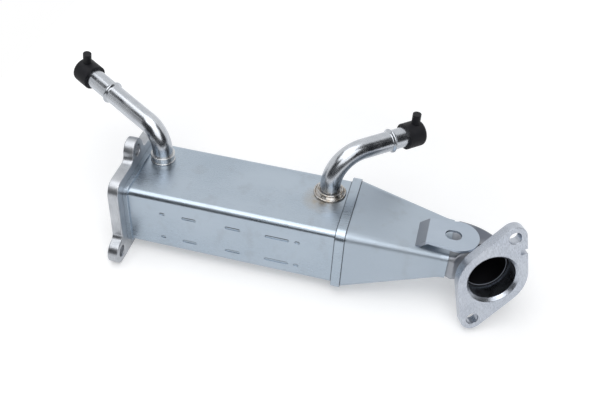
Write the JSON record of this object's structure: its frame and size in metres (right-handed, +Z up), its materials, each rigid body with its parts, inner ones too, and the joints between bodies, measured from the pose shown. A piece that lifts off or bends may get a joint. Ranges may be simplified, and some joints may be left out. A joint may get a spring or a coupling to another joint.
{
  "type": "egr cooler",
  "caption": "Brazed stainless exhaust gas cooler: box shell with finned gas tubes, inlet flange, tapered diffuser, flanged outlet elbow, bent coolant pipes with rubber caps, and a bracket.",
  "frame": {"origin": "centre of the gas inlet, in the plane of the inlet flange's gasket face", "axes": "+X along the gas flow from the inlet flange to the diffuser, +Z up through the shell's top, where the coolant pipes stand, +Y to the side away from the outlet"},
  "size_m": [0.3618, 0.1206, 0.1162],
  "materials": {
    "flange_steel": "ground stainless plate with bright edges",
    "sheet_steel": "satin furnace-brazed stainless sheet",
    "elbow_steel": "satin stainless casting with a faint heat tint",
    "pipe_steel": "bright drawn stainless tube",
    "ferrule_steel": "brazed stainless with a warm heat tint",
    "cap_rubber": "matte black moulded rubber",
    "core_steel": "plain stainless strip"
  },
  "bodies": {
    "root": {"inlet_flange": "flange_steel", "inlet_tube_plate": "sheet_steel", "shell": "sheet_steel", "outlet_collar": "sheet_steel", "diffuser": "sheet_steel", "outlet_elbow": "elbow_steel", "outlet_flange": "flange_steel", "support_bracket": "sheet_steel", "flange_end_pipe": "pipe_steel", "diffuser_end_pipe": "pipe_steel", "flange_end_ferrule": "ferrule_steel", "diffuser_end_ferrule": "ferrule_steel", "flange_end_cap": "cap_rubber", "diffuser_end_cap": "cap_rubber", "gas_tube_1": "core_steel", "gas_tube_2": "core_steel", "gas_tube_3": "core_steel", "gas_tube_4": "core_steel", "gas_tube_5": "core_steel", "gas_tube_6": "core_steel", "gas_fin_1": "core_steel", "gas_fin_2": "core_steel", "gas_fin_3": "core_steel", "gas_fin_4": "core_steel", "gas_fin_5": "core_steel", "gas_fin_6": "core_steel"}
  },
  "joints": []
}
